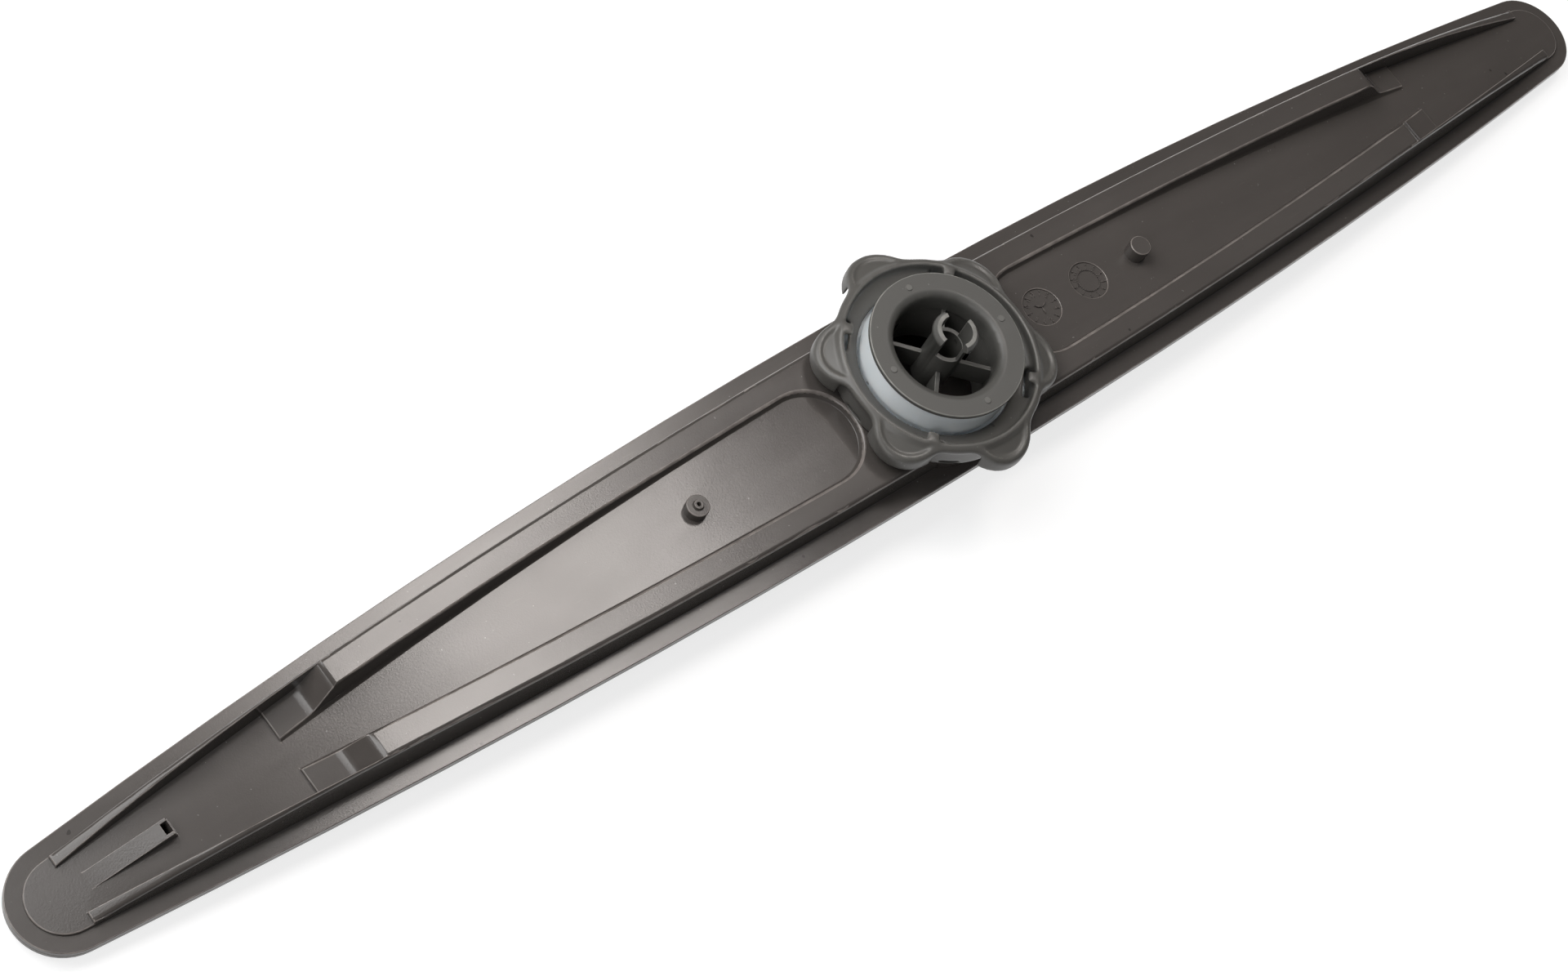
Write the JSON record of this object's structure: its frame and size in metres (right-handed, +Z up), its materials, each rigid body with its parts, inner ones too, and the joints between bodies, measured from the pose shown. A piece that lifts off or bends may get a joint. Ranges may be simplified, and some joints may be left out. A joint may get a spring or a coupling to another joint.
{
  "type": "dishwasher spray arm",
  "caption": "Bowed hollow dishwasher spray arm with sunk panels between rails and a round hub that carries a slide bush, a snap-in inlet collar and a lobed grip ring.",
  "frame": {"origin": "on the table under the hub axis, at the middle of the arm's flat belly", "axes": "+X along the arm towards the half with the plain peg, +Z up along the hub axis on the inlet side"},
  "size_m": [0.46, 0.057, 0.0371],
  "materials": {
    "arm_plastic": "satin",
    "bush_plastic": "satin",
    "collar_plastic": "satin",
    "ring_plastic": "satin"
  },
  "bodies": {
    "arm": {"hub_shell": "arm_plastic", "nozzle_shell": "arm_plastic", "bearing_ring": "bush_plastic"},
    "collar": {"hub_collar": "collar_plastic"},
    "ring": {"grip_ring": "ring_plastic"}
  },
  "joints": [
    {"name": "arm_spin", "type": "hinge", "parent": "arm", "child": "collar", "pos_m": [0, 0, 0.0312], "axis": [0, 0, 1], "continuous": true},
    {"name": "ring_turn", "type": "hinge", "parent": "arm", "child": "ring", "pos_m": [0, 0, 0.0236], "axis": [0, 0, 1], "continuous": true}
  ]
}
